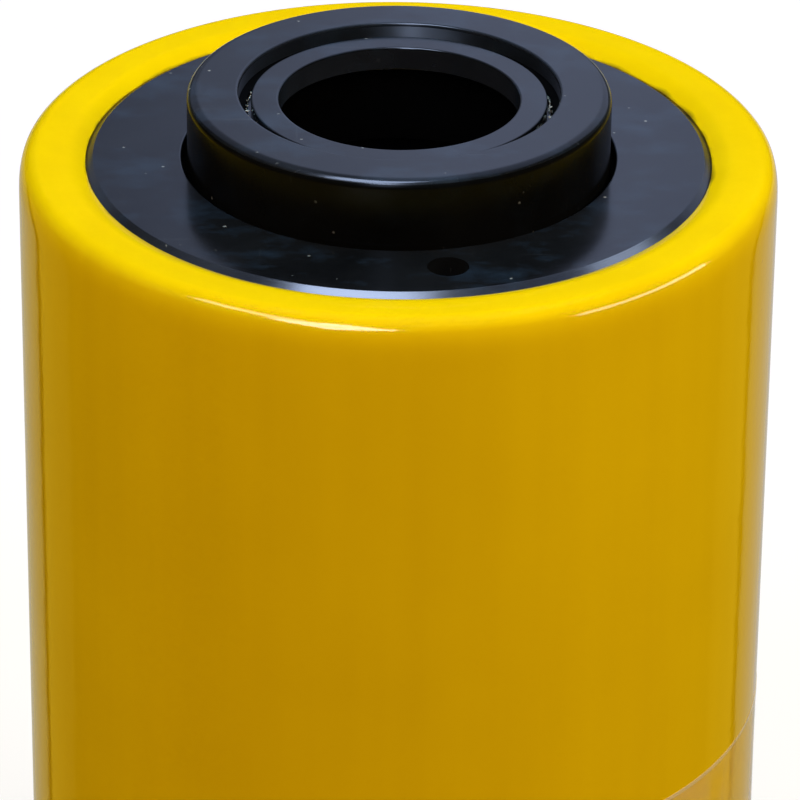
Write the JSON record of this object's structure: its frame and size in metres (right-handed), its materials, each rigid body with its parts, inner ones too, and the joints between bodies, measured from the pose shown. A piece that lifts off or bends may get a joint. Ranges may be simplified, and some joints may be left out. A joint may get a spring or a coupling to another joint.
{
  "type": "hollow plunger cylinder",
  "caption": "Round single-acting hydraulic cylinder with a hollow plunger and a hole right through its middle, for lifting, pressing or pulling on a rod.",
  "frame": {"origin": "on the cylinder's axis, in the plane of the base", "axes": "+Z along the axis, the way the plunger comes out; +Y towards the oil port; the picture looks along +Y from above"},
  "size_m": [0.114, 0.1469, 0.178],
  "materials": {
    "yellow_paint": "gloss",
    "blackened_steel": "satin",
    "black_plunger": "satin",
    "ground_steel": "ground",
    "spring_steel": "satin",
    "plated_steel": "zinc plated",
    "ball_steel": "polished",
    "guide_bronze": "satin",
    "rubber": "matte",
    "seal_plastic": "satin",
    "backup_plastic": "satin"
  },
  "bodies": {
    "housing": {"cylinder_body": "yellow_paint", "gland_nut": "blackened_steel", "gland_guide_ring": "guide_bronze", "wiper_ring": "rubber", "center_tube": "ground_steel", "tube_o_ring": "rubber", "tube_backup_ring": "backup_plastic", "tube_retaining_ring": "spring_steel", "return_spring": "spring_steel", "coupler_body": "plated_steel", "coupler_insert": "plated_steel", "coupler_seal": "rubber", "coupler_spring": "spring_steel"},
    "plunger": {"plunger": "black_plunger", "saddle": "blackened_steel", "piston_head": "black_plunger", "piston_seal": "seal_plastic", "piston_backup_ring": "backup_plastic", "piston_guide_ring": "guide_bronze", "inner_seal": "seal_plastic", "inner_backup_ring": "backup_plastic", "inner_guide_ring": "guide_bronze"},
    "check_ball": {"coupler_ball": "ball_steel"}
  },
  "joints": [
    {"name": "plunger_slide", "type": "slide", "parent": "housing", "child": "plunger", "axis": [0, 0, 1], "range_m": [0, 0.064], "stiffness_N_per_m": 2800, "springref_m": -0.05, "deforming": ["return_spring"]},
    {"name": "check_ball_press", "type": "slide", "parent": "housing", "child": "check_ball", "axis": [0, -1, 0], "range_m": [0, 0.003], "stiffness_N_per_m": 600, "springref_m": -0.002, "deforming": ["coupler_spring"]}
  ]
}
